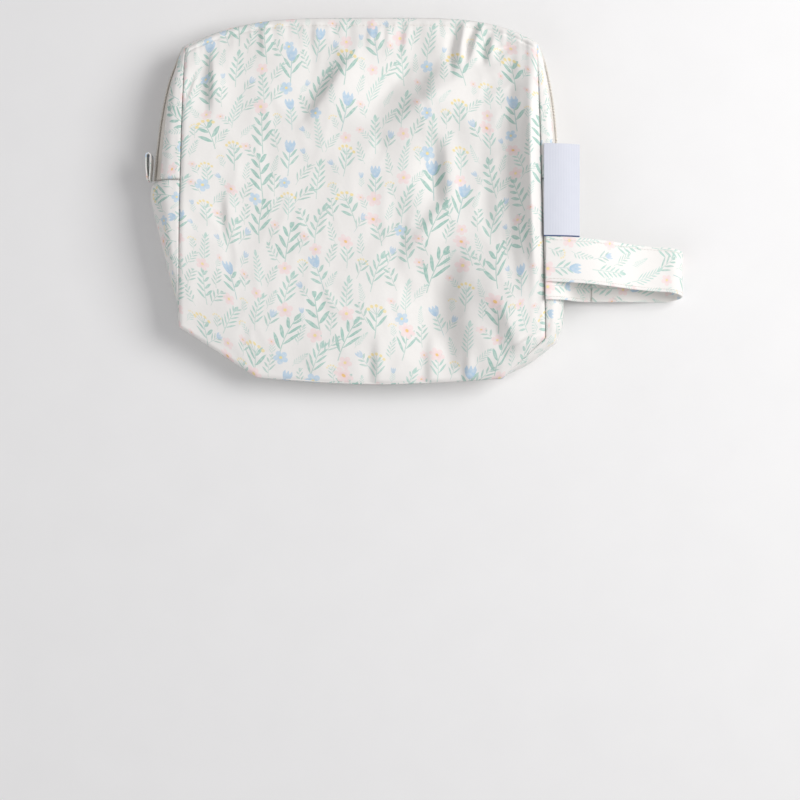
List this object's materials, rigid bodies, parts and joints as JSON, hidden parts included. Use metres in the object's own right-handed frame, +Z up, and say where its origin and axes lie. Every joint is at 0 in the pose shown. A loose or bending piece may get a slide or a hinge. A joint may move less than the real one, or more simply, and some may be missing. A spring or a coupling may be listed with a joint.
{
  "type": "zipped cloth wet bag",
  "caption": "Soft zipped pouch for wet laundry, lying flat, with a gusset all round, a zip over its top, a side label and a strap handle closed by a snap.",
  "frame": {"origin": "on the resting face, under the middle of the panels", "axes": "+Z up out of the front panel, +Y towards the zipped top edge, +X towards the side with the strap handle"},
  "size_m": [0.4245, 0.2885, 0.0548],
  "materials": {
    "printed_cloth": "smooth polyester laminate with a small printed flower pattern",
    "zip_tape": "woven polyester tape",
    "zip_plastic": "moulded nylon",
    "satin": "plain woven satin ribbon",
    "snap_plastic": "moulded resin"
  },
  "bodies": {
    "root": {"front_panel": "printed_cloth", "back_panel": "printed_cloth", "base_gusset": "printed_cloth", "zip_strip_front": "printed_cloth", "zip_strip_back": "printed_cloth", "zip_tape": "zip_tape", "zip_coil": "zip_plastic", "zip_slider": "zip_plastic", "zip_end_loop": "printed_cloth", "label": "satin", "handle_strap": "printed_cloth", "snap_tab": "printed_cloth", "strap_snap": "snap_plastic"}
  },
  "joints": []
}
